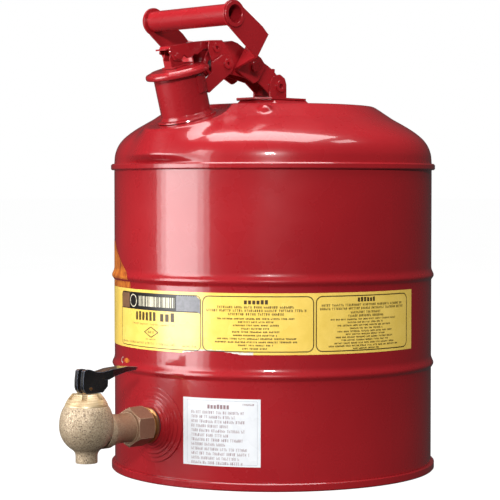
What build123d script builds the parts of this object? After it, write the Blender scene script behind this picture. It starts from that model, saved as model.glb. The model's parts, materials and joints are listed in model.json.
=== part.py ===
from build123d import *
import math
import os

# Safety can with a bottom faucet. Millimetres, +Z up, origin on the floor under the can's axis.
# The spout and the faucet face -Y. In side profiles a point is (forward, up), forward being -Y.

SHEET = 0.9                # can body steel
WALL_R = 146.0             # outside of the plain wall
SEAM_R = 149.0             # outside of the rolled seams
CHIME_H = 7.0              # bottom chime
SEAM_LOW, SEAM_TOP = 273.5, 279.0
BEAD_HEIGHTS = (98.9, 179.3)
BEAD_HALF = 6.2            # half height of a rolled bead
BEAD_OUT = 2.2             # how far a bead stands out
CROWN_Z = 333.0            # middle of the dome
CROWN_R, STEP_R = 92.0, 102.5

SPOUT_FORWARD, SPOUT_Z = 107.0, 319.0
SPOUT_LEAN = 15.8          # degrees forward of upright
SPOUT_R = 22.0
SPOUT_WALL = 1.2
SPOUT_TOP = 41.0           # lip height along the spout's axis
PAD_R = 38.0               # flat facet round the spout's foot
CAP_R = 28.4

PLATE = 1.6                # bracket, lever and arm sheet
ARM_X = 9.2                # outside half widths of the nested channels
DOME_EAR_X = 11.1
LEVER_X = 12.6
FRONT_X = 6.9                # narrow front of the lid lever
CLIP_X = 4.7
SPOUT_EAR_X = 15.0
YOKE_X = 14.9
PIVOT_A = (1.8, 350.3)     # arm to dome bracket
PIVOT_B = (71.7, 367.2)    # arm, lid lever and spout ears
PIVOT_C = (82.9, 381.0)    # cross rivet in the lid lever
PIVOT_D = (38.5, 366.4)    # handle swing
PIVOT_E = (124.0, 372.0)   # cap to lid lever
RIVET_R = 2.4
RUNNING = 0.06             # radial clearance of a pin that turns

GRIP = (100.0, 407.0)      # grip tube axis
GRIP_R = 9.3
GRIP_BORE_R = 8.0
GRIP_HALF = 53.6

FAUCET_Z = 51.5            # faucet shank axis
GLOBE_FORWARD, GLOBE_Z = 221.5, 57.0
GLOBE_R = 23.0
OUTLET_R, OUTLET_BORE_R, OUTLET_Z = 9.3, 6.5, 26.0
BONNET_TOP = 84.5
LEVER_PIN = (221.5, 88.9)
LEVER_PIN_R = 1.5
TANG_X = 1.95                # half thickness of the stem's tang
TAP_LEVER_X = 6.0
STEM_LIFT = 4.0            # rise of the stem over the lever's travel
LEVER_TRAVEL = 90.0        # degrees

SIDE = Plane(origin=(0, 0, 0), x_dir=(0, -1, 0), z_dir=(-1, 0, 0))
SPOUT = Plane(
    origin=(0, -SPOUT_FORWARD, SPOUT_Z),
    x_dir=(1, 0, 0),
    z_dir=(0, -math.sin(math.radians(SPOUT_LEAN)), math.cos(math.radians(SPOUT_LEAN))),
)
SHANK = Plane(origin=(0, 0, FAUCET_Z), x_dir=(1, 0, 0), z_dir=(0, -1, 0))


def at(point, x=0.0):
    """A place given as (forward, up), x to the side."""
    return (x, -point[0], point[1])


def turned(points, plane=Plane.XY):
    """A solid of revolution from (radius, height) points, about the plane's own Z."""
    face = Plane.XZ * make_face(Polyline(*points, close=True))
    solid = revolve(face, Axis.Z)
    return plane.location * solid


def tube(outer, inner, low, high, plane=Plane.XY):
    return turned([(inner, low), (outer, low), (outer, high), (inner, high)], plane)


def rod(radius, low, high, plane=Plane.XY):
    return turned([(0, low), (radius, low), (radius, high), (0, high)], plane)


def cross(point, radius, x0, x1):
    """A round bar along X through a (forward, up) point."""
    plane = Plane(origin=at(point, x0), x_dir=(0, 1, 0), z_dir=(1, 0, 0))
    return rod(radius, 0, x1 - x0, plane)


def plate(points, x0, x1):
    """A flat plate from a closed side outline, between two X positions."""
    outline = Polyline(*points, close=True)
    sketch = SIDE.offset(-x1) * make_face(outline)
    return extrude(sketch, amount=x1 - x0)


def rounded(points, radius, x0, x1, corners=None):
    """A plate whose chosen outline corners are rounded."""
    face = make_face(Polyline(*points, close=True))
    corner_points = face.vertices()
    if corners is not None:
        wanted = [Vector(*points[i], 0) for i in corners]
        corner_points = [v for v in corner_points if any((Vector(*v) - w).length < 0.01 for w in wanted)]
    sketch = SIDE.offset(-x1) * fillet(corner_points, radius)
    return extrude(sketch, amount=x1 - x0)


def both(x0, x1, outline, radius, corners=None):
    """The same rounded plate on both sides of the middle plane."""
    return rounded(outline, radius, x0, x1, corners) + rounded(outline, radius, -x1, -x0, corners)


# --- can body ---------------------------------------------------------------------------------

def bead_points(height, offset):
    """A rolled bead as a smooth bulge, fullest a little below its middle."""
    steps = 12
    points = []
    for i in range(steps + 1):
        t = -1 + 2 * i / steps
        out = BEAD_OUT * (0.5 + 0.5 * math.cos(math.pi * (t + 0.28 * (1 - t * t))))
        points.append((WALL_R - offset + out, height + BEAD_HALF * t))
    return points


def wall_profile(offset):
    points = [(WALL_R - offset, CHIME_H)]
    for height in BEAD_HEIGHTS:
        points += bead_points(height, offset)
    return points + [(WALL_R - offset, SEAM_LOW)]


def make_can_wall():
    outline = wall_profile(0) + wall_profile(SHEET)[::-1]
    wall = turned(outline)
    return wall - rod(13.6, WALL_R - 20, WALL_R + 20, SHANK)


def make_bottom_pan():
    pan = turned([
        (0, 6.2), (128, 4.2), (138, 3.4), (144.0, 3.4), (144.0, 0), (SEAM_R - 1.0, 0), (SEAM_R, 1.0),
        (SEAM_R, CHIME_H - 0.8), (SEAM_R - 0.8, CHIME_H), (142.9, CHIME_H), (142.9, 4.4), (138, 4.4),
        (128, 5.2), (0, 7.2),
    ])
    return pan


def dome_profile(offset):
    """Half section of the dome, crown first: crown, step, shoulder arc points, skirt."""
    crown = [(0, CROWN_Z), (45, CROWN_Z - 0.4), (70, CROWN_Z - 0.8), (84, CROWN_Z - 1.3),
             (CROWN_R, CROWN_Z - 2.0)]
    step = [(97, 328.6), (STEP_R, 324.9), (111, 319.3)]
    shoulder = [(119, 314.8), (126.5, 310.3), (133, 305.7), (138.5, 300.7), (142.6, 294.8), (145.2, 287.5)]
    foot = [(WALL_R, SEAM_TOP)]
    points = []
    for r, z in crown + step + shoulder + foot:
        lower = offset * (1.0 if r < 111 else 0.72)
        inward = 0.0 if r < 90 else offset * min(1.0, (r - 90) / 50.0)
        points.append((max(r - inward, 0), z - (lower if r < WALL_R else 0)))
    return points


def dome_body(offset):
    """The dome as a closed form: turned cover, spout facet and a pressed nub."""
    outline = dome_profile(offset)
    spline_part = Spline(*outline[:5])
    lower_part = Spline(*outline[4:])
    foot_r = outline[-1][0]
    closing = Polyline(outline[-1], (foot_r, SEAM_TOP - 3.5), (0, SEAM_TOP - 3.5), outline[0])
    face = make_face([spline_part, lower_part, closing])
    cover = revolve(Plane.XZ * face, Axis.Z)
    spout_base = -offset
    facet_cut = turned([(0, spout_base), (PAD_R - 2, spout_base), (PAD_R + 14, 26), (0, 26)], SPOUT)
    facet_pad = turned([(0, spout_base), (PAD_R - offset, spout_base), (PAD_R + 10 - offset, -14),
                        (0, -30)], SPOUT)
    nub = Pos(66, -75.5, 323.5 - offset) * Cone(9 - offset, 4, 12)
    cover = cover - facet_cut
    return cover + facet_pad + nub


def make_top_dome():
    solid = dome_body(0) - dome_body(SHEET)
    solid -= rod(SPOUT_R + 0.02, -30, 10, SPOUT)
    return solid


def make_top_seam():
    ring = turned([
        (WALL_R - SHEET, SEAM_LOW), (SEAM_R - 0.9, SEAM_LOW), (SEAM_R, SEAM_LOW + 0.9),
        (SEAM_R, SEAM_TOP - 1.1), (SEAM_R - 1.1, SEAM_TOP), (WALL_R + 0.0, SEAM_TOP),
        (WALL_R, SEAM_TOP - 3.5), (WALL_R - SHEET, SEAM_TOP - 3.5),
    ])
    return ring


# --- spout, cap and lid lever -----------------------------------------------------------------

def make_spout_tube():
    body = tube(SPOUT_R, SPOUT_R - SPOUT_WALL, -6, SPOUT_TOP, SPOUT)
    foot = turned([(SPOUT_R - 0.2, 0.02), (SPOUT_R + 4.6, 0.02), (SPOUT_R + 4.2, 1.2), (SPOUT_R + 1.6, 2.0),
                   (SPOUT_R + 0.4, 4.2), (SPOUT_R - 0.2, 5.0)], SPOUT)
    return body + foot


ARRESTER_R = 19.4
ARRESTER_LENGTH = 150.0


def make_flame_arrester():
    """Perforated basket that hangs in the spout, its lip held by the retaining ring."""
    bottom = 22 - ARRESTER_LENGTH
    basket = tube(ARRESTER_R, ARRESTER_R - 0.8, bottom, 22, SPOUT)
    basket += rod(ARRESTER_R, bottom - 0.8, bottom, SPOUT)
    holes = []
    for row in range(7):
        for turn in range(6):
            angle = 60 * turn + 30 * (row % 2)
            bar = Rot(0, 0, angle) * (Pos(ARRESTER_R - 4, 0, bottom + 16 + 18 * row) * Rot(0, 90, 0)
                                      * Cylinder(2.6, 10))
            holes.append(SPOUT.location * bar)
    return basket - holes


def make_arrester_ring():
    return tube(SPOUT_R - SPOUT_WALL, ARRESTER_R, 19, 23, SPOUT)


def make_spout_ears():
    """Hinge bracket: a half strap round the back of the spout with two forward ears welded to it."""
    strap = tube(SPOUT_R + 1.2, SPOUT_R, 21, 36, SPOUT)
    strap -= SPOUT.location * (Pos(0, -30, 28) * Box(80, 60, 40))
    ear = [(98.5, 341.0), (98.5, 352.0), (90.6, 359.0), (90.6, 367.6), (78.0, 375.0), (69.6, 375.2),
           (63.4, 367.4),
           (66.3, 360.3), (89.0, 344.4), (93.5, 341.0)]
    ears = both(SPOUT_EAR_X - PLATE, SPOUT_EAR_X, ear, 1.5, [3, 4, 8])
    round_end = both(SPOUT_EAR_X - PLATE, SPOUT_EAR_X, ear, 4.0, [5, 6, 7])
    ears = ears & round_end
    bracket = ears + strap
    bracket -= rod(SPOUT_R, 0, SPOUT_TOP, SPOUT)
    return bracket - cross(PIVOT_B, RIVET_R, -20, 20)


CAP_LOW = 38.6             # rim's lower edge along the spout's axis


def make_cap_shell():
    """Pressed lid disc with a rolled rim and a slightly crowned middle."""
    low = CAP_LOW
    section = turned([
        (CAP_R - 1.6, low), (CAP_R - 0.5, low + 0.3), (CAP_R, low + 1.2), (CAP_R, low + 3.0),
        (CAP_R - 0.6, low + 4.2), (CAP_R - 2.2, low + 4.8), (CAP_R - 4.0, low + 4.9),
        (CAP_R - 5.2, low + 6.0),
        (10, low + 7.1), (0, low + 7.3), (0, low + 6.0), (10, low + 5.8), (CAP_R - 5.0, low + 5.0),
        (CAP_R - 1.6, low + 3.4),
    ], SPOUT)
    return section - cap_rivet_hole()


def cap_rivet_hole():
    return rod(RIVET_R, 36, 60, SPOUT)


GASKET_R = 25.2


def make_cap_gasket():
    return turned([(0, SPOUT_TOP + 0.15), (GASKET_R, SPOUT_TOP + 0.15), (GASKET_R, SPOUT_TOP + 1.2),
                   (CAP_R - 5.2, CAP_LOW + 4.9), (10, CAP_LOW + 5.7), (0, CAP_LOW + 5.9)],
                  SPOUT) - cap_rivet_hole()


def make_cap_rivet():
    low = SPOUT_TOP - 1.2
    return turned([(0, low), (4.2, low), (5.2, SPOUT_TOP + 0.15), (RIVET_R, SPOUT_TOP + 0.15),
                   (RIVET_R, 47.2), (3.1, 47.2), (2.8, 48.2), (0, 48.6)], SPOUT)


def spout_point(side, height):
    """(forward, up) of a point given across and along the spout's axis."""
    lean = math.radians(SPOUT_LEAN)
    return (SPOUT_FORWARD + side * math.cos(lean) + height * math.sin(lean),
            SPOUT_Z - side * math.sin(lean) + height * math.cos(lean))


def make_cap_clip():
    """Stirrup riveted on the cap: a flat foot and two upright ears that carry the pin."""
    top = CAP_LOW + 7.3
    foot = plate([spout_point(-14, top), spout_point(9.5, top), spout_point(9.5, top + 1.3),
                  spout_point(-14, top + 1.3)], -8.4, 8.4)
    ear = [spout_point(-5.0, top), spout_point(9.5, top), spout_point(9.5, top + 9), (129.0, 377.6),
           (118.6, 377.0), spout_point(-4.0, top + 6.0)]
    ears = both(CLIP_X - 1.4, CLIP_X, ear, 1.2, [3, 4])
    front = plate([spout_point(8.1, top), spout_point(9.5, top), spout_point(9.5, top + 7),
                   spout_point(8.1, top + 7)], -CLIP_X, CLIP_X)
    clip = foot + ears + front
    clip -= rod(RIVET_R, 36, 60, SPOUT)
    return clip - cross(PIVOT_E, 1.6, -12, 12)


def make_cap_pin():
    pin = cross(PIVOT_E, 1.6, -FRONT_X - 0.9, FRONT_X + 0.9)
    return pin + cross(PIVOT_E, 2.8, -FRONT_X - 1.2, -FRONT_X) + cross(PIVOT_E, 2.8, FRONT_X, FRONT_X + 1.2)


def make_lid_lever():
    """Wide clevis at the hinge, stepping in to a narrow inverted channel that ends over the cap."""
    clevis = [(91.5, 387.2), (76.2, 388.2), (64.4, 374.0), (63.2, 366.0), (66.5, 359.6), (76.0, 358.6),
              (84.5, 360.4), (88.2, 368.4), (92.6, 381.0)]
    cheek = [(132.6, 380.1), (99.2, 386.0), (84.0, 387.7), (84.0, 381.0), (93.0, 379.8), (98.0, 376.4),
             (100.8, 374.4), (104.0, 375.0), (107.0, 371.8), (112.0, 370.8), (116.5, 373.4), (120.5, 368.0),
             (127.5, 368.0), (130.5, 373.0), (133.6, 373.6)]
    lever = both(LEVER_X - PLATE, LEVER_X, clevis, 1.1) + both(FRONT_X - PLATE, FRONT_X, cheek, 1.0)
    lever += plate([(91.3, 387.2), (82.0, 387.8), (82.0, 386.1), (91.3, 385.4)],
                   0.2 - LEVER_X, LEVER_X - 0.2)
    lever += plate([(132.4, 380.1), (99.2, 386.0), (84.0, 387.7), (84.0, 386.0), (99.0, 384.4),
                    (132.2, 378.5)], 0.2 - FRONT_X, FRONT_X - 0.2)
    lever += plate([(137.6, 376.0), (133.2, 376.6), (132.2, 378.5), (132.4, 380.1), (134.0, 377.8),
                    (137.8, 377.4)], 0.4 - FRONT_X, FRONT_X - 0.4)
    lever -= cross(PIVOT_B, RIVET_R + RUNNING, -20, 20)
    lever -= cross(PIVOT_C, RIVET_R, -20, 20)
    return lever - cross(PIVOT_E, 1.6, -20, 20)


def hollow_rivet(point, x_head, radius=RIVET_R, head_r=4.6, head=1.3):
    """A rivet along X with two round heads and a dimple in each."""
    body = cross(point, radius, -x_head, x_head)
    for side in (-1, 1):
        x0, x1 = sorted((side * x_head, side * (x_head + head)))
        body += cross(point, head_r, x0, x1)
        d0, d1 = sorted((side * (x_head - 1.5), side * (x_head + head)))
        body -= cross(point, radius * 0.62, d0, d1)
    return body


def make_hinge_rivet():
    return hollow_rivet(PIVOT_B, SPOUT_EAR_X)


def make_lever_rivet():
    return hollow_rivet(PIVOT_C, LEVER_X, head_r=4.2, head=1.0)


SPRING_WIRE = 0.8
SPRING_R = 4.4


def make_lid_spring():
    """Closing spring: closed coils round the hinge, one leg hooked under the cross rivet."""
    body = None
    turns = 6
    for i in range(turns):
        x = -5.0 + 2 * i
        ring = cross(PIVOT_B, SPRING_R + SPRING_WIRE, x - 0.95, x + 1.05) - cross(
            PIVOT_B, SPRING_R - SPRING_WIRE, x - 0.95, x + 1.05)
        body = ring if body is None else body + ring
    leg = plate([(71.0, 371.5), (74.4, 371.0), (79.4, 385.0), (77.6, 385.6)], 4.4, 6.0)
    tail = plate([(68.0, 364.2), (68.0, 362.4), (56.0, 364.6), (56.0, 366.2)], -5.9, -4.3)
    return body + leg + tail


# --- carrying arm, dome bracket and handle ----------------------------------------------------

ARM_TOP = [(70.0, 386.6), (61.0, 388.6), (54.0, 387.0), (47.0, 383.4), (37.5, 378.2), (28.0, 373.6),
           (18.0, 369.6), (10.8, 365.8), (4.0, 360.4)]
ARM_LOW = [(-4.0, 357.6), (-7.2, 350.3), (-4.0, 343.6), (3.0, 341.6), (12.5, 342.2), (27.0, 352.8),
           (47.0, 356.8), (64.0, 359.2)]


def make_bridge_arm():
    """Arched inverted channel that ties the spout hinge to the dome bracket."""
    outline = ARM_TOP + ARM_LOW + [(72.8, 359.4), (79.4, 365.0), (78.0, 374.0)]
    cheeks = both(ARM_X - PLATE, ARM_X, outline, 2.0)
    inner = [(p - 0.4, z - 1.6) for p, z in ARM_TOP]
    web = plate(ARM_TOP + inner[::-1], -ARM_X + 0.2, ARM_X - 0.2)
    tab = rounded([(3.2, 359.0), (6.4, 359.6), (5.6, 366.4), (2.0, 366.4)], 1.0, 3.2, 4.8, [2, 3])
    arm = cheeks + web + tab
    arm -= cross(PIVOT_A, 3.0, -20, 20)
    arm -= cross(PIVOT_B, RIVET_R, -20, 20)
    return arm - cross(PIVOT_D, 3.0, -20, 20)


def make_dome_bracket():
    """Base plate on a sloping foot, with two ears that hold the arm's rear end."""
    base = Pos(0, -2.0, 338.3) * Box(46, 68, 1.8)
    base = chamfer(base.edges().filter_by(Axis.Z), 12)
    skirt = Pos(0, 0.5, 335.0) * Box(52, 70, 4.9)
    skirt = chamfer(skirt.edges().filter_by(Axis.Z), 13)
    skirt = chamfer(skirt.edges().group_by(Axis.Z)[-1], 4.0)
    ear = [(-6.6, 338.6), (14.6, 338.6), (14.6, 352.0), (10.5, 359.0), (1.8, 361.2), (-4.6, 357.6),
           (-6.6, 352.0)]
    ears = both(DOME_EAR_X - PLATE, DOME_EAR_X, ear, 3.0, [2, 3, 4, 5, 6])
    bracket = base + skirt + ears - dome_body(0)
    return bracket - cross(PIVOT_A, 3.0, -20, 20)


def make_bracket_rivet():
    rivet = cross(PIVOT_A, 3.0, -DOME_EAR_X - 1.2, DOME_EAR_X + 1.2)
    for side in (-1, 1):
        x0, x1 = sorted((side * DOME_EAR_X, side * (DOME_EAR_X + 1.7)))
        rivet += cross(PIVOT_A, 5.4, x0, x1)
        d0, d1 = sorted((side * (DOME_EAR_X - 3), side * (DOME_EAR_X + 2)))
        rivet -= cross(PIVOT_A, 2.2, d0, d1)
    return rivet


def make_bracket_washers():
    washers = []
    for side in (-1, 1):
        x0, x1 = sorted((side * ARM_X, side * (DOME_EAR_X - PLATE)))
        washers.append(cross(PIVOT_A, 6.0, x0, x1) - cross(PIVOT_A, 3.0, x0, x1))
    return washers[0] + washers[1]


FOLD_OUT = [(74.0, 372.0), (60.0, 393.0)]      # grip plate to slanted facet
FOLD_IN = [(61.6, 363.2), (47.8, 384.0)]       # slanted facet to clevis cheek


def facet_section(fold, x):
    """Cross section of the slanted facet, as a thin quadrilateral at one X."""
    (p0, z0), (p1, z1) = fold
    points = [(p0, z0), (p1, z1), (p1 - 1.7, z1 - 1.3), (p0 - 1.7, z0 - 1.3)]
    return SIDE.offset(-x) * make_face(Polyline(*points, close=True))


def make_handle_yoke():
    """Two joggled arms with their grip plates and clevis cheeks, welded to the grip tube."""
    yoke = None
    outer = [(104.0, 394.9), (74.0, 372.0), (72.3, 370.7), (58.3, 391.7), (60.0, 393.0), (65.5, 398.2),
             (96.5, 418.2)]
    cheek = [(61.6, 363.2), (48.0, 355.6), (38.6, 351.2), (33.4, 354.0), (23.6, 367.6), (30.0, 374.6),
             (46.1, 382.7), (47.8, 384.0)]
    for side in (-1, 1):
        x0, x1 = sorted((side * 51.0, side * 53.0))
        end = plate(outer, x0, x1) + cross(GRIP, 12.3, x0, x1)
        facet = loft([facet_section(FOLD_OUT, side * 53.0), facet_section(FOLD_IN, side * (YOKE_X - 1.9))])
        c0, c1 = sorted((side * (YOKE_X - 1.9), side * YOKE_X))
        clevis = rounded(cheek, 2.5, c0, c1, [1, 2, 3, 4, 5])
        arm = end + facet + clevis
        yoke = arm if yoke is None else yoke + arm
    yoke -= cross(GRIP, GRIP_R, -60, 60)
    return yoke - cross(PIVOT_D, 3.0 + RUNNING, -20, 20)


def make_grip_tube():
    grip = cross(GRIP, GRIP_R, -GRIP_HALF, GRIP_HALF)
    for side in (-1, 1):
        x0, x1 = sorted((side * 53.0, side * (GRIP_HALF + 0.8)))
        grip += cross(GRIP, 11.3, x0, x1)
    return grip - cross(GRIP, GRIP_BORE_R, -60, 60)


def make_handle_pin():
    pin = cross(PIVOT_D, 3.0, -YOKE_X - 0.4, YOKE_X + 0.4)
    for side in (-1, 1):
        x0, x1 = sorted((side * (YOKE_X + 0.15), side * (YOKE_X + 2.4)))
        pin += cross(PIVOT_D, 4.6, x0, x1)
    return pin


def make_handle_bushes():
    bushes = []
    for side in (-1, 1):
        x0, x1 = sorted((side * ARM_X, side * (YOKE_X - 2.05)))
        bushes.append(cross(PIVOT_D, 5.0, x0, x1) - cross(PIVOT_D, 3.0, x0, x1))
    return bushes[0] + bushes[1]


# --- faucet -----------------------------------------------------------------------------------

def make_faucet_flange():
    """Stepped boss round the outlet: two steps follow the curved wall, the inner ones are turned."""
    boss = turned([(13.6, 120), (22.6, 120), (22.6, 148.9), (20.4, 149.1), (20.0, 150.3), (17.8, 150.5),
                   (17.4, 151.6), (13.6, 151.8)], SHANK)
    for radius, rise in ((33.0, 1.1), (29.0, 2.0), (25.6, 2.9)):
        disc = turned([(13.6, 120), (radius, 120), (radius - 0.5, 160), (13.6, 160)], SHANK)
        boss += disc & rod(WALL_R + rise, 0, 120)
    return boss - rod(WALL_R, 0, 120)


def make_faucet_gasket():
    return tube(15.2, 13.3, 151.8, 153.0, SHANK)


def make_faucet_nipple():
    """Threaded shank through the wall with a rounded collar outside and a nut seat inside."""
    shank = turned([(9.0, 128.0), (13.3, 128.0), (13.3, 153.0), (15.4, 153.0), (15.8, 154.0), (15.4, 155.4),
                    (14.0, 156.0), (14.0, 158.0), (9.0, 158.0)], SHANK)
    return shank


def make_inner_nut():
    hexagon = extrude(SHANK.offset(131.0) * RegularPolygon(20.0, 6, major_radius=False), amount=7.0)
    washer = tube(21.5, 13.3, 138.0, 139.5, SHANK)
    return hexagon + washer - rod(13.3, 120, 150, SHANK)


def make_faucet_body():
    """Cast globe with its hexagon shank, neck and downward spigot, hollow inside."""
    flats = Rot(0, 0, 30) * RegularPolygon(15.0, 6, major_radius=False)
    hexagon = extrude(SHANK.offset(158.0) * flats, amount=18.0)
    hex_trim = turned([(0, 158.0), (15.6, 158.0), (17.6, 160.0), (17.6, 174.0), (15.4, 176.0),
                       (0, 176.0)], SHANK)
    neck = turned([(0, 175.0), (13.0, 175.0), (12.4, 179.0), (12.4, 188.0), (13.4, 194.0), (15.4, 200.0),
                   (15.4, 206.0), (0, 206.0)], SHANK)
    globe_plane = Plane(origin=(0, -GLOBE_FORWARD, GLOBE_Z))
    globe = globe_plane.location * Sphere(GLOBE_R)
    down = Plane(origin=(0, -GLOBE_FORWARD, 0))
    spigot = turned([(0, OUTLET_Z), (OUTLET_R - 0.5, OUTLET_Z), (OUTLET_R, OUTLET_Z + 0.5), (OUTLET_R, 33.5),
                     (OUTLET_R + 1.4, 37.0), (OUTLET_R + 5.0, 41.0), (0, 50.0)], down)
    shoulder = turned([(0, 57.6), (22.95, 58.0), (22.9, 60.2), (22.7, 62.4), (22.35, 64.6), (21.85, 66.8),
                       (21.15, 69.0), (20.25, 71.2), (19.1, 73.2), (18.4, 74.15), (0, 74.15)], down)
    body = (hexagon & hex_trim) + neck + globe + shoulder + spigot
    body -= globe_plane.location * Sphere(GLOBE_R - 3.2)
    body -= rod(9.0, 150.0, 205.0, SHANK)
    body += turned([(OUTLET_BORE_R, 38.6), (10.5, 38.6), (10.5, 42.0), (9.0, 43.4),
                    (OUTLET_BORE_R, 43.4)], down)
    body -= rod(OUTLET_BORE_R, 20.0, 44.0, down)
    body -= rod(15.0, 68.0, 90.0, down)
    return body


def stem_plane():
    return Plane(origin=(0, -GLOBE_FORWARD, 0))


def make_faucet_bonnet():
    """Castellated screw-in cover of the globe."""
    bonnet = turned([(3.3, 73.0), (14.95, 73.0), (14.95, 74.25), (18.3, 74.25), (18.1, 75.4), (16.9, 77.9),
                     (14.9, 81.0), (12.7, BONNET_TOP - 0.8), (12.0, BONNET_TOP), (3.3, BONNET_TOP)],
                    stem_plane())
    for turn in range(3):
        slot = Pos(0, -GLOBE_FORWARD, BONNET_TOP) * Rot(0, 0, 60 * turn + 15) * Box(40, 4.6, 9.6)
        bonnet -= slot - rod(9.4, 60, 100, stem_plane())
    return bonnet


def make_faucet_stem():
    """Valve stem with its spring collar below and a flat drilled tang above."""
    stem = turned([(0, 43.6), (4.0, 43.6), (4.0, 48.0), (7.6, 48.0), (7.6, 49.6), (3.2, 49.6),
                   (3.2, 79.6), (0, 79.6)], stem_plane())
    tang = Pos(0, -GLOBE_FORWARD, 85.8) * Box(2 * TANG_X, 5.0, 13.0)
    return stem + tang - cross(LEVER_PIN, LEVER_PIN_R + RUNNING, -10, 10)


def make_valve_seal():
    return turned([(4.0, 43.6), (8.6, 43.6), (8.6, 48.0), (4.0, 48.0)], stem_plane())


def make_valve_spring():
    """Coil spring between the bonnet and the stem's collar, as a plain sleeve of wire rings."""
    spring = tube(6.4, 4.6, 49.8, 72.8, stem_plane())
    for i in range(7):
        z = 51.6 + 3.1 * i
        spring -= tube(7.0, 5.5, z, z + 1.6, stem_plane())
    return spring


def cam_points(clearance):
    """The lever's nose: its lowest point falls in step with the turn, so the stem rises evenly."""
    rate = STEM_LIFT / math.radians(LEVER_TRAVEL)
    drop = LEVER_PIN[1] - BONNET_TOP
    points = []
    for i in range(9):
        turn = math.radians(LEVER_TRAVEL) * i / 8
        reach = drop + rate * turn - clearance
        points.append((LEVER_PIN[0] + reach * math.sin(turn) + rate * math.cos(turn),
                       LEVER_PIN[1] - reach * math.cos(turn) + rate * math.sin(turn)))
    return points


def make_faucet_lever():
    """Black lever: two cheeks that straddle the stem's tang, a rounded nose and a tapered thumb blade."""
    side = cam_points(0.32) + [(229.5, 96.0), (228.4, 104.0), (226.6, 105.0), (221.6, 105.0), (216.0, 102.9),
                               (209.0, 100.4), (202.6, 96.0), (203.0, 89.6), (208.4, 84.85)]
    cheeks = plate(side, TANG_X + 0.25, TAP_LEVER_X) + plate(side, -TAP_LEVER_X, -TANG_X - 0.25)
    bridge = plate([(217.4, 103.4), (209.0, 100.4), (202.6, 96.0), (203.4, 91.8), (210.6, 93.4),
                    (215.4, 98.0)], -TAP_LEVER_X, TAP_LEVER_X)
    blade = plate([(214.6, 102.2), (209.0, 95.4), (202.0, 95.2), (196.0, 97.6), (183.0, 100.4),
                   (169.0, 101.4), (166.9, 102.4), (168.2, 103.7), (182.0, 104.9), (197.0, 103.9),
                   (207.0, 102.2)], -9, 9)
    half = [(6.0, -218), (6.0, -207), (7.0, -198), (6.4, -186), (4.8, -171), (2.6, -166.9)]
    plan = Polyline(*half, *[(-x, y) for x, y in reversed(half)], close=True)
    blade &= extrude(Plane.XY.offset(80) * make_face(plan), amount=40)
    return cheeks + bridge + blade - cross(LEVER_PIN, LEVER_PIN_R, -10, 10)


def make_lever_pin():
    return cross(LEVER_PIN, LEVER_PIN_R, -TAP_LEVER_X - 0.5, TAP_LEVER_X + 0.5)


# --- labels -----------------------------------------------------------------------------------

def sleeve_patch(angle0, angle1, low, high, thick=0.12):
    """A thin label on the wall; angles are degrees from the front towards +X."""
    ring = tube(WALL_R + thick, WALL_R, low, high)
    middle, half = math.radians((angle0 + angle1) / 2), math.radians((angle1 - angle0) / 2)
    reach = 400.0
    wedge_points = [(0, 0)]
    for turn in (-1.0, -0.5, 0, 0.5, 1.0):
        angle = middle + half * turn
        wedge_points.append((reach * math.sin(angle), -reach * math.cos(angle)))
    sector = Plane.XY.offset(low - 1) * make_face(Polyline(*wedge_points, close=True))
    wedge = extrude(sector, amount=high - low + 2)
    return ring & wedge


def make_yellow_label():
    return sleeve_patch(-62.0, 101.5, 116.0, 168.3)


def make_white_label():
    return sleeve_patch(13.3, 41.0, 20.5, 78.3)


PARTS = {
    "can_wall": make_can_wall,
    "bottom_pan": make_bottom_pan,
    "top_dome": make_top_dome,
    "top_seam": make_top_seam,
    "spout_tube": make_spout_tube,
    "flame_arrester": make_flame_arrester,
    "arrester_ring": make_arrester_ring,
    "spout_ears": make_spout_ears,
    "cap_shell": make_cap_shell,
    "cap_gasket": make_cap_gasket,
    "cap_rivet": make_cap_rivet,
    "cap_clip": make_cap_clip,
    "cap_pin": make_cap_pin,
    "lid_lever": make_lid_lever,
    "hinge_rivet": make_hinge_rivet,
    "lever_rivet": make_lever_rivet,
    "lid_spring": make_lid_spring,
    "bridge_arm": make_bridge_arm,
    "dome_bracket": make_dome_bracket,
    "bracket_rivet": make_bracket_rivet,
    "bracket_washers": make_bracket_washers,
    "handle_yoke": make_handle_yoke,
    "grip_tube": make_grip_tube,
    "handle_pin": make_handle_pin,
    "handle_bushes": make_handle_bushes,
    "faucet_flange": make_faucet_flange,
    "faucet_gasket": make_faucet_gasket,
    "faucet_nipple": make_faucet_nipple,
    "inner_nut": make_inner_nut,
    "faucet_body": make_faucet_body,
    "faucet_bonnet": make_faucet_bonnet,
    "faucet_stem": make_faucet_stem,
    "valve_seal": make_valve_seal,
    "valve_spring": make_valve_spring,
    "faucet_lever": make_faucet_lever,
    "lever_pin": make_lever_pin,
    "yellow_label": make_yellow_label,
    "white_label": make_white_label,
}


def main():
    os.makedirs("parts", exist_ok=True)
    for name, make in PARTS.items():
        export_step(make(), f"parts/{name}.step")


main()
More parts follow.
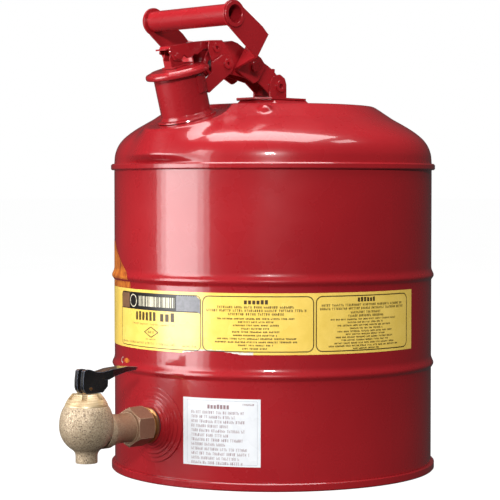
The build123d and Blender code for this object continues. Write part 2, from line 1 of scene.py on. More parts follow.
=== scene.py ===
import bpy
import numpy as np
import json
import math
import random
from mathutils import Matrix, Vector


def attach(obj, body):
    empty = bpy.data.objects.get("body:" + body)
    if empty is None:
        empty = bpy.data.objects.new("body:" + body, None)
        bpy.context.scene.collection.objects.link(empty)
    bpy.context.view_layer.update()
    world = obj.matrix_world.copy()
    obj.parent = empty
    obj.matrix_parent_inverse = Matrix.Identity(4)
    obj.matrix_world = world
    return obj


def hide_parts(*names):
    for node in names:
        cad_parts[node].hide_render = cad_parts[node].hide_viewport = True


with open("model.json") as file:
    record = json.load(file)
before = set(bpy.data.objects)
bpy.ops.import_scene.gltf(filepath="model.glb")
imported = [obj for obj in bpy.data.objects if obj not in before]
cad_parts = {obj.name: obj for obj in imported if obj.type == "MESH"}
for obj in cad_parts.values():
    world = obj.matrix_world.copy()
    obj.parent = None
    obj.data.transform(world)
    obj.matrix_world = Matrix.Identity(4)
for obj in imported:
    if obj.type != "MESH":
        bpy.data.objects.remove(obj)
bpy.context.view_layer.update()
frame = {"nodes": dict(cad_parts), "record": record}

MM = 0.001
WALL_R = 146.0 * MM


# --- node material helpers ---------------------------------------------------------------------

class Shader:
    """A material's node tree with short calls for the nodes that this scene uses."""

    def __init__(self, name):
        self.material = bpy.data.materials.new(name)
        self.material.use_nodes = True
        self.tree = self.material.node_tree
        self.tree.nodes.clear()
        self.output = self.tree.nodes.new("ShaderNodeOutputMaterial")
        self.shader = self.tree.nodes.new("ShaderNodeBsdfPrincipled")
        self.tree.links.new(self.shader.outputs["BSDF"], self.output.inputs["Surface"])

    def node(self, kind, **inputs):
        made = self.tree.nodes.new(kind)
        for key, value in inputs.items():
            self.set(made, key.replace("_", " "), value)
        return made

    def set(self, node, key, value):
        if isinstance(value, bpy.types.NodeSocket):
            self.tree.links.new(value, node.inputs[key])
        else:
            node.inputs[key].default_value = value

    def surface(self, **inputs):
        for key, value in inputs.items():
            self.set(self.shader, key.replace("_", " "), value)

    def position(self):
        return self.node("ShaderNodeTexCoord").outputs["Object"]

    def noise(self, scale, detail=3.0, rough=0.5, vector=None):
        made = self.node("ShaderNodeTexNoise", Scale=scale, Detail=detail, Roughness=rough)
        self.set(made, "Vector", vector or self.position())
        return made.outputs["Fac"]

    def ramp(self, value, *stops):
        """A colour ramp; stops are (place, colour)."""
        made = self.node("ShaderNodeValToRGB", Fac=value)
        elements = made.color_ramp.elements
        while len(elements) < len(stops):
            elements.new(0.5)
        for element, (place, colour) in zip(elements, stops):
            element.position = place
            element.color = (*colour, 1.0) if len(colour) == 3 else colour
        return made.outputs["Color"]

    def grey(self, value, *stops):
        return self.ramp(value, *[(place, (level, level, level)) for place, level in stops])

    def mix(self, amount, first, second, mode="MIX"):
        made = self.tree.nodes.new("ShaderNodeMix")
        made.data_type = "RGBA"
        made.blend_type = mode
        for index, value in ((0, amount), (6, first), (7, second)):
            if isinstance(value, bpy.types.NodeSocket):
                self.tree.links.new(value, made.inputs[index])
            elif index == 0:
                made.inputs[index].default_value = value
            else:
                made.inputs[index].default_value = (*value, 1.0)
        return made.outputs[2]

    def bump(self, height, distance, strength=1.0, below=None):
        made = self.node("ShaderNodeBump", Height=height, Distance=distance, Strength=strength)
        if below is not None:
            self.set(made, "Normal", below)
        return made.outputs["Normal"]


# --- materials ---------------------------------------------------------------------------------

def red_paint():
    """Baked gloss enamel: deep red, faint orange peel, fine specks and slow colour drift."""
    s = Shader("red_enamel")
    drift = s.noise(9.0, 2.0)
    colour = s.ramp(drift, (0.30, (0.275, 0.0080, 0.0125)), (0.72, (0.330, 0.0110, 0.0155)))
    specks = s.grey(s.noise(900.0, 2.0, 0.7), (0.70, 0.0), (0.76, 1.0))
    colour = s.mix(specks, colour, (0.21, 0.007, 0.010))
    eased = s.node("ShaderNodeBevel", Radius=0.0007).outputs["Normal"]      # paint rounds every edge
    peel = s.bump(s.noise(260.0, 2.0, 0.45), 0.00010, 0.35, eased)
    waves = s.bump(s.noise(11.0, 1.0, 0.4), 0.0010, 0.22, peel)
    rough = s.grey(s.noise(40.0, 4.0), (0.3, 0.24), (0.7, 0.32))
    s.surface(Base_Color=colour, Roughness=rough, Normal=waves)
    s.surface(Metallic=0.0, IOR=1.33, Coat_Weight=0.85, Coat_Roughness=0.05)
    s.set(s.shader, "Coat Normal", waves)
    return s.material


def vinyl(name, low, high):
    """Printed vinyl film with a slight mottle and a soft sheen."""
    s = Shader(name)
    colour = s.ramp(s.noise(60.0, 4.0, 0.6), (0.35, low), (0.70, high))
    film = s.bump(s.noise(420.0, 2.0), 0.00004, 0.4)
    rough = s.grey(s.noise(35.0, 3.0), (0.3, 0.22), (0.7, 0.32))
    s.surface(Base_Color=colour, Roughness=rough, Normal=film)
    s.surface(Coat_Weight=0.5, Coat_Roughness=0.16)
    return s.material


def ink(name, colour, roughness=0.35):
    s = Shader(name)
    low = tuple(c * 0.75 for c in colour)
    s.surface(Base_Color=s.ramp(s.noise(300.0, 3.0), (0.3, low), (0.7, colour)), Roughness=roughness)
    s.set(s.shader, "Normal", s.bump(s.noise(700.0, 2.0), 0.00003, 0.4))
    return s.material


def mottled_orange():
    """Orange printed patch with darker brush-like streaks."""
    s = Shader("orange_print")
    stretch = s.node("ShaderNodeMapping", Vector=s.position())
    stretch.inputs["Scale"].default_value = (1.0, 1.0, 0.45)
    pattern = s.noise(190.0, 5.0, 0.65, stretch.outputs["Vector"])
    colour = s.ramp(pattern, (0.34, (0.20, 0.035, 0.010)), (0.48, (0.44, 0.110, 0.016)),
                    (0.66, (0.64, 0.215, 0.03)))
    s.surface(Base_Color=colour, Roughness=0.28)
    return s.material


def edge_mask(s, radius, low=0.90, high=0.985):
    """1 along sharp edges, from the angle between the true and the rounded normal."""
    rounded = s.node("ShaderNodeBevel", Radius=radius)
    true = s.node("ShaderNodeNewGeometry").outputs["Normal"]
    agree = s.tree.nodes.new("ShaderNodeVectorMath")
    agree.operation = "DOT_PRODUCT"
    s.tree.links.new(rounded.outputs["Normal"], agree.inputs[0])
    s.tree.links.new(true, agree.inputs[1])
    return s.grey(agree.outputs["Value"], (low, 1.0), (high, 0.0))


def cast_metal():
    """Sand-cast bronze: fine pale grain, small dark pits, lighter along sharp edges, and browner towards the
    can.
    """
    s = Shader("cast_bronze")
    place = s.position()
    grains = s.noise(760.0, 3.0, 0.6)
    colour = s.ramp(grains, (0.30, (0.23, 0.160, 0.100)), (0.50, (0.40, 0.305, 0.200)),
                    (0.68, (0.52, 0.415, 0.290)))
    pits = s.node("ShaderNodeTexVoronoi", Scale=640.0, Vector=place)
    pit_mask = s.grey(pits.outputs["Distance"], (0.16, 1.0), (0.34, 0.0))
    sparse = s.grey(s.noise(330.0, 2.0), (0.42, 0.0), (0.50, 1.0))
    pit_mask = s.mix(1.0, pit_mask, sparse, "MULTIPLY")
    colour = s.mix(pit_mask, colour, (0.060, 0.034, 0.020))
    split = s.node("ShaderNodeSeparateXYZ", Vector=place)
    stages = ((-0.206, -0.188, 0.80, (0.265, 0.125, 0.070)), (-0.1755, -0.1740, 0.70, (0.205, 0.085, 0.050)))
    for start, end, amount, tone in stages:
        near_can = s.node("ShaderNodeMapRange", Value=split.outputs["Y"])
        near_can.inputs["From Min"].default_value = start
        near_can.inputs["From Max"].default_value = end
        near_can.inputs["To Max"].default_value = amount
        colour = s.mix(near_can.outputs["Result"], colour, tone)
    # lighter bronze along sharp edges
    colour = s.mix(edge_mask(s, 0.0006), colour, (0.62, 0.50, 0.33))
    coarse = s.bump(grains, 0.00042, 0.60)
    pitted = s.bump(pit_mask, -0.00040, 0.6, coarse)
    s.surface(Base_Color=colour, Metallic=0.30, Normal=pitted)
    s.surface(Roughness=s.grey(grains, (0.3, 0.62), (0.7, 0.42)))
    return s.material


def turned_bronze():
    """The bonnet: the same bronze, turned, with fine level tool rings."""
    s = Shader("turned_bronze")
    rings = s.node("ShaderNodeMapping", Vector=s.position())
    rings.inputs["Scale"].default_value = (0.25, 0.25, 6.0)
    tool = s.noise(230.0, 3.0, 0.6, rings.outputs["Vector"])
    colour = s.ramp(tool, (0.34, (0.36, 0.245, 0.125)), (0.50, (0.56, 0.42, 0.245)),
                    (0.66, (0.70, 0.57, 0.37)))
    s.surface(Base_Color=colour, Metallic=0.45, Normal=s.bump(tool, 0.00012, 0.6))
    s.surface(Roughness=s.grey(tool, (0.3, 0.50), (0.7, 0.36)))
    return s.material


def turned_metal(name, low, high, roughness=0.26, metallic=1.0):
    """Machined metal with fine tool marks and a few darker stains."""
    s = Shader(name)
    stain = s.noise(90.0, 4.0, 0.6)
    colour = s.ramp(stain, (0.32, low), (0.62, high))
    marks = s.noise(1300.0, 1.0)
    s.surface(Base_Color=colour, Metallic=metallic, Normal=s.bump(marks, 0.00005, 0.5))
    s.surface(Roughness=s.grey(stain, (0.3, roughness + 0.14), (0.7, roughness)))
    return s.material


def black_enamel():
    """Glossy black coating, with a painted bluish highlight along sharp edges and a painted brown, streaky
    reflection of the red can on faces that look up.
    """
    s = Shader("black_enamel")
    colour = s.ramp(s.noise(70.0, 3.0), (0.3, (0.006, 0.006, 0.007)), (0.7, (0.014, 0.013, 0.013)))
    # painted reflection: faces that look up take a streaky brown tone that stands for the red can mirrored in
    # the gloss
    facing = s.node("ShaderNodeSeparateXYZ", Vector=s.node("ShaderNodeTexCoord").outputs["Normal"])
    up = s.grey(facing.outputs["Z"], (0.55, 0.0), (0.80, 1.0))
    streak = s.node("ShaderNodeMapping", Vector=s.position())
    streak.inputs["Scale"].default_value = (3.0, 0.35, 1.0)
    reflection_streaks = s.grey(s.noise(170.0, 3.0, 0.6, streak.outputs["Vector"]), (0.36, 0.25), (0.62, 0.85))
    colour = s.mix(s.mix(1.0, up, reflection_streaks, "MULTIPLY"), colour, (0.155, 0.085, 0.055))
    # painted highlight: a bluish tone along sharp edges stands for the light that the glossy edges catch
    colour = s.mix(edge_mask(s, 0.0007), colour, (0.115, 0.145, 0.215))
    eased = s.node("ShaderNodeBevel", Radius=0.0006).outputs["Normal"]
    marks = s.bump(s.noise(340.0, 2.0), 0.00008, 0.5, eased)
    s.surface(Base_Color=colour, Roughness=s.grey(s.noise(120.0), (0.3, 0.16), (0.7, 0.26)), Normal=marks)
    s.surface(Coat_Weight=0.5, Coat_Roughness=0.05)
    return s.material


def rubber():
    s = Shader("seal_rubber")
    s.surface(Base_Color=s.ramp(s.noise(200.0), (0.3, (0.012, 0.012, 0.012)), (0.7, (0.030, 0.030, 0.030))))
    s.surface(Roughness=0.65, Normal=s.bump(s.noise(800.0), 0.0001, 0.5))
    return s.material


PAINT = red_paint()
BRASS = turned_metal("turned_brass", (0.42, 0.20, 0.075), (0.72, 0.46, 0.20))
MATERIALS = {
    "red_paint": PAINT,
    "yellow_label": vinyl("yellow_vinyl", (0.85, 0.59, 0.105), (0.93, 0.66, 0.140)),
    "white_label": vinyl("white_film", (0.70, 0.715, 0.74), (0.76, 0.775, 0.80)),
    "cast_bronze": cast_metal(),
    "turned_brass": BRASS,
    "black_lever": black_enamel(),
    "seal_rubber": rubber(),
    "bright_steel": turned_metal("bright_steel", (0.42, 0.42, 0.43), (0.62, 0.62, 0.62), 0.3),
}
INK = ink("label_ink", (0.075, 0.045, 0.012))
HEADER_INK = ink("header_ink", (0.012, 0.010, 0.009))
TAN_INK = ink("tan_ink", (0.21, 0.105, 0.055))
WORN_INK = ink("worn_ink", (0.23, 0.23, 0.25))
CREAM_INK = ink("cream_ink", (0.82, 0.76, 0.56))
FAINT_INK = ink("faint_ink", (0.22, 0.15, 0.05))
BROWN_INK = ink("brown_ink", (0.30, 0.19, 0.20))
GREY_INK = ink("grey_ink", (0.52, 0.53, 0.57))
PAPER_EDGE = ink("paper_edge", (0.80, 0.76, 0.66))
ORANGE = mottled_orange()

slot_of = {row["node"]: row["material_slot"] for row in frame["record"]["subparts"]}
for name, node in frame["nodes"].items():
    node.data.materials.clear()
    node.data.materials.append(MATERIALS[slot_of[name]])
frame["nodes"]["faucet_bonnet"].data.materials[0] = turned_bronze()
# painted shade: the lid spring is coloured dark to stand for the shade inside the lever's channel
PAINTED_SHADE_STEEL = turned_metal("painted_shade_steel", (0.030, 0.022, 0.022), (0.085, 0.06, 0.06), 0.4)
frame["nodes"]["lid_spring"].data.materials[0] = PAINTED_SHADE_STEEL


# --- made surfaces -----------------------------------------------------------------------------

def add_piece(name, vertices, faces, materials, body="root", smooth=True, slots=None):
    """A mesh object in metres, riding on one body."""
    mesh = bpy.data.meshes.new(name)
    mesh.from_pydata([tuple(v) for v in vertices], [], faces)
    for material in materials:
        mesh.materials.append(material)
    if slots is not None:
        mesh.polygons.foreach_set("material_index", slots)
    mesh.polygons.foreach_set("use_smooth", [smooth] * len(faces))
    mesh.update()
    piece = bpy.data.objects.new(name, mesh)
    bpy.context.collection.objects.link(piece)
    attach(piece, body)
    return piece


# Pressed dome, in mm: the turned cover, the raised pad round the spout and a small nub, all blended
# as sheet metal blends under a press. The profile is (radius, height) from the crown to the seam.

SEAM_TOP = 279.0                   # the rolled seam between wall and dome
DOME_PROFILE = [(0, 333.0), (45, 332.6), (70, 332.2), (84, 331.7), (90, 331.4), (93.2, 330.8), (97, 328.6),
                (102.5, 324.9), (107, 321.9), (111, 319.3), (119, 314.8), (126.5, 310.3), (133, 305.7),
                (138.5, 300.7), (142.6, 294.8), (145.2, 287.5), (146, 279.0)]
SPOUT_LEAN, SPOUT_FORWARD, SPOUT_FOOT_Z = 15.8, 107.0, 319.0
PAD_R, SPOUT_R = 38.0, 22.0
NUB_CENTRE, NUB_R = np.array([66.0, -75.5, 322.2]), 6.6
DOME_RINGS, DOME_TURNS = 230, 460
DEEPEST = 34.0                     # how far from the plain cover the blended surface is looked for


def soft_min(a, b, width):
    h = np.clip(0.5 + 0.5 * (b - a) / width, 0.0, 1.0)
    return b + (a - b) * h - width * h * (1.0 - h)


def smooth_profile(points, count):
    """Evenly spaced points of a Catmull-Rom curve through the profile, with outward normals."""
    pts = np.array(points, float)
    pts = np.vstack([pts[1] * (-1, 1), pts, 2 * pts[-1] - pts[-2]])
    fine = []
    for a, b, c, d in zip(pts, pts[1:], pts[2:], pts[3:]):
        for t in np.linspace(0, 1, 24, endpoint=False):
            fine.append(0.5 * (2 * b + (c - a) * t + (2 * a - 5 * b + 4 * c - d) * t**2
                               + (3 * b - a - 3 * c + d) * t**3))
    fine.append(pts[-2])
    fine = np.array(fine)
    length = np.concatenate([[0], np.cumsum(np.linalg.norm(np.diff(fine, axis=0), axis=1))])
    even = np.linspace(0, length[-1], count)
    curve = np.column_stack([np.interp(even, length, fine[:, k]) for k in (0, 1)])
    along = np.gradient(curve, axis=0)
    along /= np.linalg.norm(along, axis=1)[:, None]
    return curve, np.column_stack([-along[:, 1], along[:, 0]])


def dome_surface():
    rings, turns = DOME_RINGS, DOME_TURNS
    curve, normal = smooth_profile(DOME_PROFILE, rings)
    phi = np.linspace(0, 2 * np.pi, turns, endpoint=False)
    radial = np.stack([np.sin(phi), -np.cos(phi), np.zeros(turns)], 1)
    base = curve[:, None, 0:1] * radial[None] + np.array([0, 0, 1.0]) * curve[:, None, 1:2]
    outward = normal[:, None, 0:1] * radial[None] + np.array([0, 0, 1.0]) * normal[:, None, 1:2]
    lean = math.radians(SPOUT_LEAN)
    axis = np.array([0, -math.sin(lean), math.cos(lean)])
    foot = np.array([0, -SPOUT_FORWARD, SPOUT_FOOT_Z])

    def outside(lift):
        """Signed distance, roughly, of the point lifted off the plain cover by this much."""
        point = base + outward * lift[..., None]
        height = (point - foot) @ axis
        side = np.linalg.norm(point - foot - height[..., None] * axis, axis=-1)
        flank = (side - PAD_R) * 0.80 + height * 0.60
        pad = -soft_min(-height, -flank, 1.2)
        pad = np.maximum(pad, -26 - height)
        field = soft_min(lift, pad, 6.0)
        hollow = np.maximum((side - PAD_R) * 0.85 - height * 0.52, -height)
        field = -soft_min(-field, hollow, 2.0)
        across = (point - NUB_CENTRE) * (1, 1, 0.85)
        nub = np.linalg.norm(across, axis=-1) - NUB_R
        return soft_min(field, nub, 2.2)

    low, high = np.full(base.shape[:2], -DEEPEST), np.full(base.shape[:2], DEEPEST)
    for _ in range(26):
        middle = 0.5 * (low + high)
        solid = outside(middle) < 0
        low, high = np.where(solid, middle, low), np.where(solid, high, middle)
    fade = np.clip((curve[:, 1] - SEAM_TOP - 0.5) / 6.0, 0, 1)[:, None]
    points = base + outward * (0.5 * (low + high) * fade)[..., None]
    height = (points - foot) @ axis
    side = np.linalg.norm(points - foot - height[..., None] * axis, axis=-1)
    keep = side > SPOUT_R - 2.0
    index = np.arange(rings * turns).reshape(rings, turns)
    faces = []
    for r in range(rings - 1):
        for c in range(turns):
            d = (c + 1) % turns
            if keep[r, c] or keep[r + 1, d]:
                faces.append((int(index[r, c]), int(index[r + 1, c]), int(index[r + 1, d]), int(index[r, d])))
    return points.reshape(-1, 3) * MM, faces


dome_points, dome_faces = dome_surface()
dome = add_piece("pressed_dome", dome_points, dome_faces, [PAINT])
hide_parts("top_dome")


# Cast fillet between the faucet's globe and its spigot, in mm.

GLOBE_FORWARD, GLOBE_Z, GLOBE_R = 221.5, 57.0, 23.0
SPIGOT_R, FILLET_R, SUNK = 9.3, 6.5, 0.04      # the fillet's edges sink this far into both


def spigot_fillet():
    radius, turns = FILLET_R, 64
    centre_r = SPIGOT_R + radius
    centre_z = GLOBE_Z - math.sqrt((GLOBE_R + radius) ** 2 - centre_r ** 2)
    stop = math.atan2(GLOBE_Z - centre_z, -centre_r)
    arc = [(centre_r + (radius - SUNK) * math.cos(t), centre_z + (radius - SUNK) * math.sin(t))
           for t in np.linspace(math.pi, stop, 12)]
    vertices, faces = [], []
    for r, z in arc:
        for k in range(turns):
            t = 2 * math.pi * k / turns
            vertices.append((r * math.cos(t) * MM, (r * math.sin(t) - GLOBE_FORWARD) * MM, z * MM))
    for i in range(len(arc) - 1):
        for k in range(turns):
            n = (k + 1) % turns
            faces.append((i * turns + k, i * turns + n, (i + 1) * turns + n, (i + 1) * turns + k))
    return add_piece("spigot_fillet", vertices, faces, [MATERIALS["cast_bronze"]])


spigot_fillet()


# --- print on the labels -----------------------------------------------------------------------
# Places are (degrees round the wall from the spout side, height in mm). The lettering is greeked:
# rows of small strokes, in words, that spell nothing.

BEADS, BEAD_HALF, BEAD_OUT = (98.9, 179.3), 6.2, 2.2
YELLOW_PRINT_PROUD, WHITE_PRINT_PROUD, PATCH_PROUD = 0.17, 0.15, 0.10      # over the plain wall
MM_PER_DEGREE = WALL_R / MM * math.pi / 180.0


def wall_radius(z):
    """Outside radius of the can wall at a height, rolled beads included."""
    for bead in BEADS:
        t = (z - bead) / BEAD_HALF
        if abs(t) < 1:
            return WALL_R / MM + BEAD_OUT * (0.5 + 0.5 * math.cos(math.pi * (t + 0.28 * (1 - t * t))))
    return WALL_R / MM


class Wrap:
    """Collects flat shapes that lie round the can wall, and makes one piece of them."""

    def __init__(self, proud):
        self.proud, self.vertices, self.faces, self.slots = proud, [], [], []

    def vertex(self, degrees, z):
        radius = (wall_radius(z) + self.proud) * MM
        turn = math.radians(degrees)
        self.vertices.append((radius * math.sin(turn), -radius * math.cos(turn), z * MM))
        return len(self.vertices) - 1

    def quad(self, corners, slot=0):
        """Four corners in order, split so that the strip follows the wall."""
        (a0, z0), (a1, z1), (a2, z2), (a3, z3) = corners
        steps = max(1, math.ceil(abs(a1 - a0) - 0.01))
        for k in range(steps):
            t, u = k / steps, (k + 1) / steps
            ring = [(a0 + (a1 - a0) * t, z0 + (z1 - z0) * t), (a0 + (a1 - a0) * u, z0 + (z1 - z0) * u),
                    (a3 + (a2 - a3) * u, z3 + (z2 - z3) * u), (a3 + (a2 - a3) * t, z3 + (z2 - z3) * t)]
            self.faces.append([self.vertex(*corner) for corner in ring])
            self.slots.append(slot)

    def block(self, left, right, low, high, slot=0):
        self.quad([(left, low), (right, low), (right, high), (left, high)], slot)

    def line(self, points, width, slot=0):
        """A stroke of even width through points, in mm of width."""
        for (a0, z0), (a1, z1) in zip(points, points[1:]):
            dx, dz = (a1 - a0) * MM_PER_DEGREE, z1 - z0
            length = math.hypot(dx, dz) or 1.0
            nx, nz = -dz / length * width / 2, dx / length * width / 2
            na = nx / MM_PER_DEGREE
            self.quad([(a0 - na, z0 - nz), (a1 - na, z1 - nz), (a1 + na, z1 + nz), (a0 + na, z0 + nz)], slot)

    def frame(self, left, right, low, high, corner, width, slot=0):
        """A rounded outline; corner is its radius in mm."""
        ca = corner / MM_PER_DEGREE
        points = []
        for centre, start in (((right - ca, low + corner), -90), ((right - ca, high - corner), 0),
                              ((left + ca, high - corner), 90), ((left + ca, low + corner), 180)):
            for k in range(7):
                turn = math.radians(start + 15 * k)
                points.append((centre[0] + ca * math.cos(turn), centre[1] + corner * math.sin(turn)))
        points.append(points[0])
        self.line(points, width, slot)

    def glyph(self, left, low, wide, tall, weight, rng, slot):
        """One greeked letter: an upright, a second upright or bar, and sometimes a cross stroke."""
        stroke = weight / MM_PER_DEGREE
        span = wide / MM_PER_DEGREE
        kind = rng.randrange(4)
        if kind != 1:
            self.block(left, left + stroke, low, low + tall, slot)
        if kind in (0, 2):
            self.block(left + span - stroke, left + span, low, low + tall * rng.choice((0.62, 1.0)), slot)
        if kind in (1, 3):
            self.block(left + 0.3 * span, left + 0.3 * span + stroke, low, low + tall, slot)
            self.block(left, left + span, low + tall - weight * 0.8, low + tall, slot)
        if kind in (0, 3):
            self.block(left, left + span, low + tall * 0.40, low + tall * 0.40 + weight * 0.8, slot)

    def row(self, left, right, z, tall, weight, pitch, rng, slot=0, words=(3, 8)):
        """Words of greeked letters between two places, z at the row's middle."""
        at = left
        step = pitch / MM_PER_DEGREE
        while at < right - step:
            for _ in range(rng.randint(*words)):
                if at > right - step:
                    break
                self.glyph(at, z - tall / 2, pitch * 0.72, tall, weight, rng, slot)
                at += step
            at += step * 0.8

    def fan(self, points, slot=0):
        """A filled outline: a fan of triangles from its middle."""
        middle = self.vertex(sum(a for a, _ in points) / len(points), sum(z for _, z in points) / len(points))
        rim = [self.vertex(a, z) for a, z in points]
        for k, corner in enumerate(rim):
            self.faces.append([middle, corner, rim[(k + 1) % len(rim)]])
            self.slots.append(slot)

    def piece(self, name, materials):
        return add_piece(name, self.vertices, self.faces, materials, slots=self.slots)


def yellow_print():
    rng = random.Random(11)
    sheet = Wrap(YELLOW_PRINT_PROUD)
    ink_slot, band, tan, worn, cream, faint = range(6)
    sheet.frame(-22.0, 20.1, 118.3, 165.4, 4.5, 0.70, ink_slot)
    sheet.frame(20.9, 58.7, 118.6, 165.4, 5.5, 0.85, ink_slot)
    sheet.frame(59.6, 98.2, 118.6, 165.4, 5.5, 0.90, ink_slot)
    # header band of the first panel: tan end, black middle, worn grey end
    sheet.block(-21.6, -15.2, 151.2, 164.6, tan)
    sheet.block(-15.2, 10.4, 151.3, 164.9, band)
    sheet.block(10.4, 18.6, 151.6, 165.1, worn)
    sheet.quad([(18.6, 151.6), (19.9, 149.6), (19.9, 162.0), (18.6, 164.6)], worn)
    sheet.block(-21.6, 19.9, 150.7, 151.6, band)
    sheet.block(-21.4, 18.6, 164.5, 165.3, band)
    rng_plain = random.Random(5)
    at = -8.6
    while at < 9.0:                                   # blank cream blocks where a name would stand
        width = rng_plain.uniform(1.3, 1.9)
        sheet.block(at, at + width, 153.8, 162.6, cream)
        at += width + 0.35
    sheet.line([(-12.3 + 2.2 * math.cos(t), 158.1 + 5.3 * math.sin(t)) for t in np.linspace(0, 6.2832, 25)],
               0.9, cream)
    # title, faint line, diamond and small rows
    at = -10.4
    for width, gap in [(1.55, 0.45)] * 5 + [(1.55, 2.0)] + [(1.9, 0.5)] * 3:
        sheet.block(at, at + width * 0.82, 141.6, 141.6 + rng.choice((6.6, 7.2, 7.8)), ink_slot)
        at += width + gap
    sheet.row(-12.6, 9.6, 138.4, 1.5, 0.26, 1.7, rng, faint)
    sheet.line([(-1.5, 136.2), (2.1, 131.7), (-1.5, 127.2), (-5.1, 131.7), (-1.5, 136.2)], 0.85, ink_slot)
    sheet.row(-3.2, 0.4, 131.7, 2.2, 0.4, 1.7, rng, ink_slot, (2, 3))
    sheet.row(-4.4, 1.6, 125.4, 1.1, 0.35, 1.3, rng, faint)
    sheet.row(-21.0, -15.5, 121.4, 1.3, 0.3, 1.4, rng, faint)
    sheet.row(-14.8, 10.2, 121.7, 2.0, 0.3, 1.9, rng, faint)
    sheet.row(12.6, 18.6, 121.6, 1.2, 0.35, 1.4, rng, faint)
    # second panel
    at = 35.4
    for _ in range(6):
        sheet.block(at, at + 1.0, 158.9, 158.9 + rng.choice((3.3, 3.7, 4.0)), ink_slot)
        at += 1.40
    for left, right, z in [(26.1, 52.7, 156.4), (22.3, 56.7, 153.5), (30.0, 49.0, 150.5)]:
        sheet.row(left, right, z, 2.1, 0.42, 1.75, rng, ink_slot, (4, 10))
    for left, right, z in [(26.1, 52.7, 146.6), (33.4, 45.7, 143.8), (31.7, 47.4, 141.0), (34.4, 44.7, 138.2),
                           (31.4, 47.4, 135.4), (31.7, 47.0, 132.5), (26.1, 53.0, 129.6), (25.4, 53.4, 126.8),
                           (33.4, 45.4, 124.1), (34.8, 44.1, 121.2)]:
        sheet.row(left, right, z, 1.45, 0.42, 1.30, rng, ink_slot)
    # third panel
    at = 74.8
    for _ in range(6):
        sheet.block(at, at + 0.9, 160.2, 160.2 + rng.choice((3.2, 3.5, 3.8)), ink_slot)
        at += 1.25
    for left, right, z in [(61.5, 95.4, 157.6), (60.9, 96.3, 154.6), (72.1, 85.1, 151.3),
                           (71.1, 86.0, 148.3)]:
        sheet.row(left, right, z, 2.0, 0.42, 1.6, rng, ink_slot, (4, 10))
    for left, right, z in [(64.7, 92.3, 145.3), (70.9, 86.0, 142.7), (67.2, 89.7, 140.1), (71.7, 85.5, 137.5),
                           (67.1, 90.2, 135.0), (70.2, 87.0, 132.6), (66.5, 90.7, 130.1), (68.5, 88.7, 127.6),
                           (66.1, 91.0, 125.1), (64.0, 93.1, 122.7), (72.9, 84.1, 120.3)]:
        sheet.row(left, right, z, 1.35, 0.42, 1.25, rng, ink_slot)
    return sheet.piece("yellow_print", [INK, HEADER_INK, TAN_INK, WORN_INK, CREAM_INK, FAINT_INK])


def white_print():
    rng = random.Random(23)
    sheet = Wrap(WHITE_PRINT_PROUD)
    sheet.frame(14.9, 39.9, 22.3, 76.4, 0.6, 0.35, 1)
    at = 22.6
    for _ in range(7):
        sheet.block(at, at + 0.8, 69.4, 69.4 + rng.choice((3.1, 3.4, 3.7)), 0)
        at += 1.14
    sheet.row(34.9, 39.2, 73.6, 1.6, 0.35, 1.3, rng, 0, (8, 9))
    ends = (36.4, 33.4, 36.3, 31.0, 36.4, 30.7, 35.6, 29.6, 36.6, 37.9, 34.2, 35.1)
    for k, end in enumerate(ends):
        sheet.row(16.6, end, 66.1 - 3.92 * k, 2.5, 0.34, 1.62, rng, 0, (2, 8))
    return sheet.piece("white_print", [BROWN_INK, GREY_INK])


def label_wear():
    """Where the yellow label's lower edge is torn: paint shows again below a ragged white edge."""
    rng = random.Random(3)
    sheet = Wrap(WHITE_PRINT_PROUD)
    places = np.linspace(13.0, 38.5, 52)
    tear = [116.0 + 2.6 * math.sin(math.pi * min(1.0, max(0.0, (a - 13.0) / 21.0))) ** 0.8
            + rng.uniform(-0.25, 0.25) for a in places]
    edge = [t + rng.uniform(0.15, 0.9) + (1.3 if a > 31 else 0.5) for a, t in zip(places, tear)]
    for k in range(len(places) - 1):
        a, b = places[k], places[k + 1]
        if b < 34.5:
            sheet.quad([(a, 115.7), (b, 115.7), (b, max(tear[k + 1], 115.8)), (a, max(tear[k], 115.8))], 0)
        low_a, low_b = (tear[k], tear[k + 1]) if b < 34.5 else (115.9, 115.9)
        sheet.quad([(a, low_a), (b, low_b), (b, edge[k + 1]), (a, edge[k])], 1)
    return sheet.piece("label_wear", [PAINT, PAPER_EDGE])


def orange_patch():
    """Printed patch at the left of the upper bead, and a small round one on the lower bead."""
    sheet = Wrap(PATCH_PROUD)
    edge = [(-34.0, 209.0), (-31.5, 205.5), (-28.5, 200.0), (-25.0, 194.0), (-21.5, 188.5), (-18.5, 184.0),
            (-16.0, 180.0), (-15.0, 176.0), (-14.7, 171.5), (-14.6, 168.6)]
    for (a0, z0), (a1, z1) in zip(edge, edge[1:]):
        steps = max(1, int(abs(z0 - z1) / 0.8))
        for k in range(steps):
            t, u = k / steps, (k + 1) / steps
            right_t, right_u = a0 + (a1 - a0) * t, a0 + (a1 - a0) * u
            z_t, z_u = z0 + (z1 - z0) * t, z0 + (z1 - z0) * u
            slot = 1 if abs((z_t + z_u) / 2 - 175.2) < 1.0 else 0
            sheet.quad([(-66.0, z_u), (right_u, z_u), (right_t, z_t), (-66.0, z_t)], slot)
    sheet.fan([(-17.6 + 2.3 * math.cos(t), 103.8 + 2.1 * math.sin(t))
               for t in np.linspace(0, 6.2832, 18, endpoint=False)])
    hook = [(-21.4 + 1.3 * math.cos(t), 103.8 + 2.3 * math.sin(t)) for t in np.linspace(1.2, 5.1, 14)]
    sheet.line(hook, 0.5, 2)
    return sheet.piece("orange_patch", [ORANGE, PAINT, PAPER_EDGE])


yellow_print()
white_print()
label_wear()
orange_patch()


# --- camera, light and floor -------------------------------------------------------------------

CAMERA_REACH = 1.650               # from the can's axis
CAMERA_HEIGHT = 0.258
CAMERA_AZIMUTH = 45.0              # from the spout side towards +X
FOCAL_PIXELS, FRAME_PIXELS, SENSOR = 1785.0, 500.0, 36.0
AIM_YAW, AIM_PITCH = 0.732, -2.021

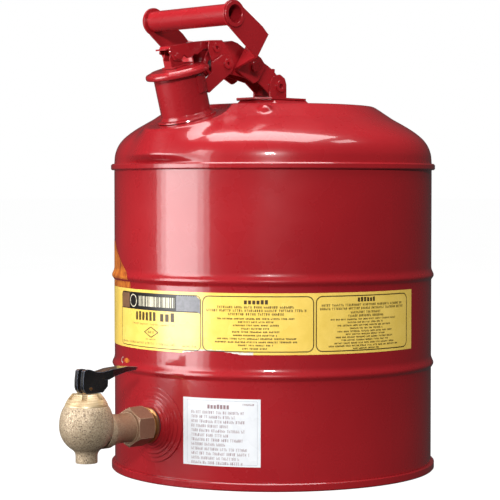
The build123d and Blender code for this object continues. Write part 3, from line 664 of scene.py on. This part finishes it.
angle = math.radians(CAMERA_AZIMUTH)
camera_data = bpy.data.cameras.new("camera")
camera_data.sensor_width = SENSOR
camera_data.lens = FOCAL_PIXELS / FRAME_PIXELS * SENSOR
camera = bpy.data.objects.new("camera", camera_data)
bpy.context.collection.objects.link(camera)
camera.location = (CAMERA_REACH * math.sin(angle), -CAMERA_REACH * math.cos(angle), CAMERA_HEIGHT)
heading = math.radians(90.0 + CAMERA_AZIMUTH + AIM_YAW)
pitch = math.radians(AIM_PITCH)
view = Vector((math.cos(heading) * math.cos(pitch), math.sin(heading) * math.cos(pitch), math.sin(pitch)))
camera.rotation_euler = view.to_track_quat("-Z", "Y").to_euler()
bpy.context.scene.camera = camera


def softbox(name, azimuth, distance, height, width, tall, power, target=(0, 0, 0.2)):
    """An area light; azimuth is from the camera's side of the can, positive to the camera's right."""
    turn = math.radians(CAMERA_AZIMUTH + azimuth)
    data = bpy.data.lights.new(name, "AREA")
    data.shape = "RECTANGLE"
    data.size, data.size_y = width, tall
    data.energy = power
    lamp = bpy.data.objects.new(name, data)
    bpy.context.collection.objects.link(lamp)
    lamp.location = (distance * math.sin(turn), -distance * math.cos(turn), height)
    lamp.rotation_euler = (Vector(target) - lamp.location).to_track_quat("-Z", "Y").to_euler()
    return lamp


for reach, width, power in ((1.50, 1.20, 11.6), (1.49, 0.94, 9.2), (1.48, 0.68, 6.8)):  # one box, soft edges
    softbox("left_box", -65, reach, 0.525, width, 1.15, power, (0, 0, 0.525))
softbox("front_key", -2, 2.1, 0.92, 0.22, 0.14, 33.0, (0, 0, 0.25))
softbox("overhead", -14, 0.24, 1.85, 1.62, 1.00, 40.0, (0, 0, 0.30))
softbox("upper_right", 72, 1.15, 1.75, 0.50, 0.26, 2.6, (0, 0, 0.30))
for side, power in ((-150, 14.0), (150, 2.5)):       # soft fill from behind, kept out of reflections
    softbox("back_fill", side, 1.3, 2.0, 0.9, 0.7, power).visible_glossy = False

world = bpy.data.worlds.new("world")
bpy.context.scene.world = world
world.use_nodes = True
backdrop = world.node_tree
ambient = backdrop.nodes["Background"]
ambient.inputs["Color"].default_value = (1.0, 1.0, 1.0, 1.0)
ambient.inputs["Strength"].default_value = 0.165
dim = backdrop.nodes.new("ShaderNodeBackground")    # the dark room that the gloss mirrors
dim.inputs["Color"].default_value = (1.0, 1.0, 1.0, 1.0)
dim.inputs["Strength"].default_value = 0.05
paper_white = backdrop.nodes.new("ShaderNodeBackground")
paper_white.inputs["Color"].default_value = (1.0, 1.0, 1.0, 1.0)
paper_white.inputs["Strength"].default_value = 1.0
seen = backdrop.nodes.new("ShaderNodeLightPath")
choose = backdrop.nodes.new("ShaderNodeMixShader")
room = backdrop.nodes.new("ShaderNodeMixShader")
backdrop.links.new(seen.outputs["Is Glossy Ray"], room.inputs[0])
backdrop.links.new(ambient.outputs[0], room.inputs[1])
backdrop.links.new(dim.outputs[0], room.inputs[2])
backdrop.links.new(seen.outputs["Is Camera Ray"], choose.inputs[0])
backdrop.links.new(room.outputs[0], choose.inputs[1])
backdrop.links.new(paper_white.outputs[0], choose.inputs[2])
backdrop.links.new(choose.outputs[0], backdrop.nodes["World Output"].inputs["Surface"])

FLOOR_HALF = 30.0
floor_mesh = bpy.data.meshes.new("floor")
floor_corners = [(x * FLOOR_HALF, y * FLOOR_HALF, 0) for x, y in ((-1, -1), (1, -1), (1, 1), (-1, 1))]
floor_mesh.from_pydata(floor_corners, [], [(0, 1, 2, 3)])
floor = bpy.data.objects.new("floor", floor_mesh)
bpy.context.collection.objects.link(floor)
floor.visible_diffuse = False
floor.visible_glossy = False
floor.visible_shadow = False
paper = Shader("floor_paper")
paper.surface(Base_Color=(0.12, 0.12, 0.12, 1.0), Roughness=1.0, Emission_Strength=0.975)
paper.surface(Emission_Color=paper.grey(paper.noise(3.0), (0.2, 0.99), (0.8, 1.0)))
paper.surface(Specular_IOR_Level=0.0)
floor_mesh.materials.append(paper.material)

bpy.context.scene.view_settings.view_transform = "Standard"
